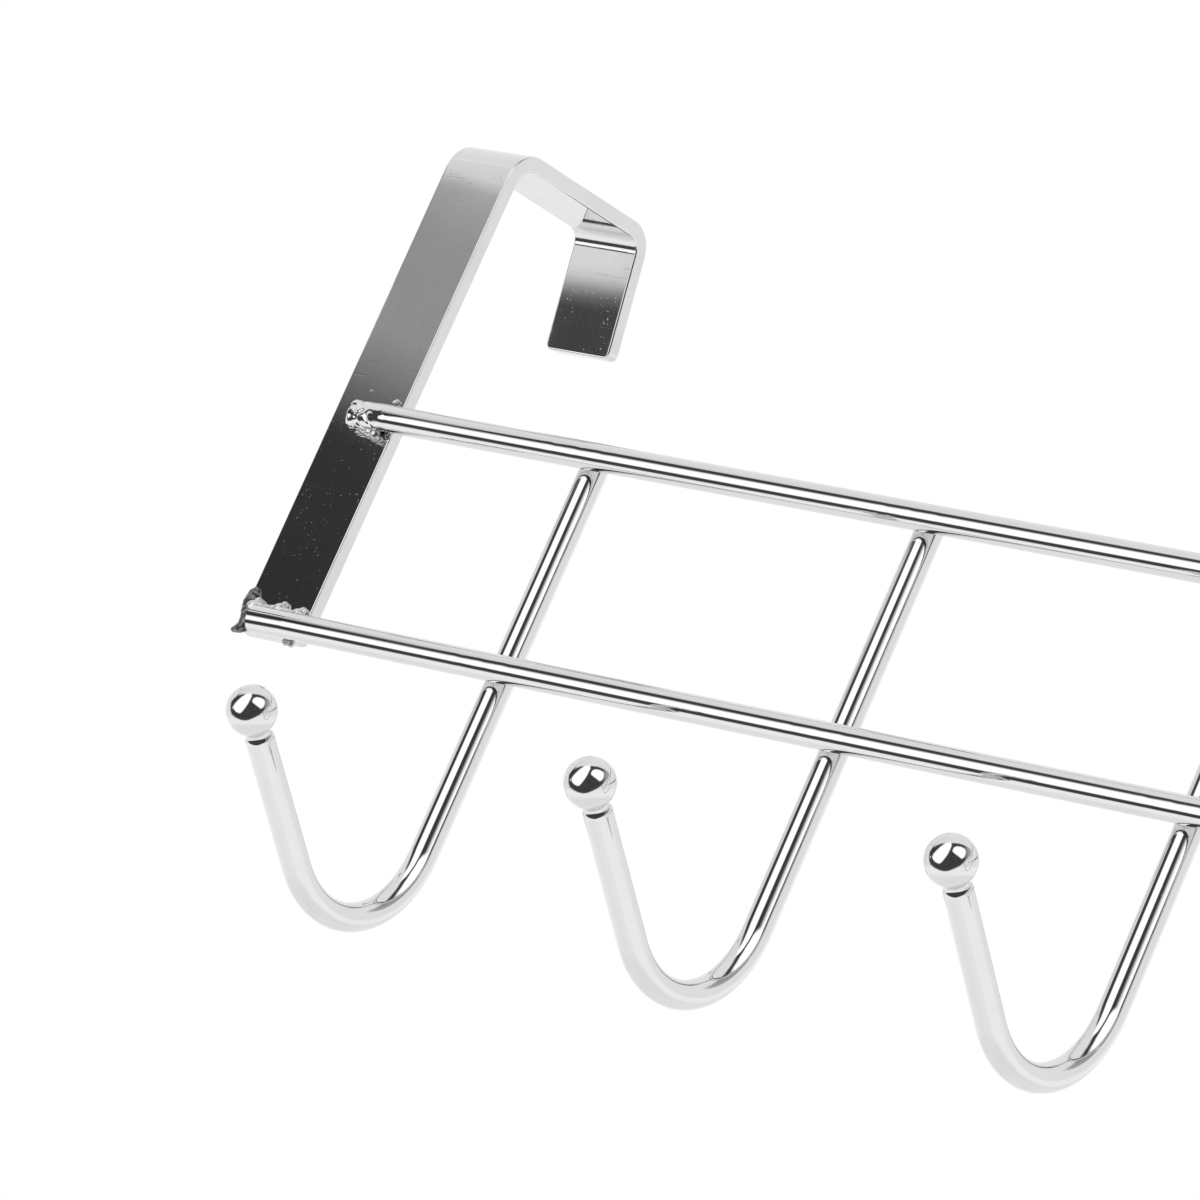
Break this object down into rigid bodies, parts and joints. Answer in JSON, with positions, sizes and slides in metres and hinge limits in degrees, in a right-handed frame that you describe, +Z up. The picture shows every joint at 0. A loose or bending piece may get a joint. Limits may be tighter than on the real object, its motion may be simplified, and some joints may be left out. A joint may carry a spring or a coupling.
{
  "type": "over door hook",
  "caption": "Chrome-plated over door hook rack: two flat straps fold over the door top and carry two round rails with wire J hooks ending in balls.",
  "frame": {"origin": "middle of the rack's length, where the inner faces of a strap's front leg and top would meet: the front edge of the door's top", "axes": "+X along the rack to the right as seen from the front, +Y back through the door, +Z up"},
  "size_m": [0.4208, 0.108, 0.1633],
  "materials": {
    "round_plate": "bright chrome plate on round steel wire",
    "strap_plate": "bright chrome plate on flat steel bar, finely pitted and scratched",
    "weld_metal": "chrome plate over rough weld metal"
  },
  "bodies": {
    "root": {"left_strap": "strap_plate", "right_strap": "strap_plate", "upper_rail": "round_plate", "lower_rail": "round_plate", "upper_left_weld": "weld_metal", "upper_right_weld": "weld_metal", "lower_left_weld": "weld_metal", "lower_right_weld": "weld_metal", "hook_wire_1": "round_plate", "hook_wire_2": "round_plate", "hook_wire_3": "round_plate", "hook_wire_4": "round_plate", "hook_wire_5": "round_plate", "hook_ball_1": "round_plate", "hook_ball_2": "round_plate", "hook_ball_3": "round_plate", "hook_ball_4": "round_plate", "hook_ball_5": "round_plate"}
  },
  "joints": []
}
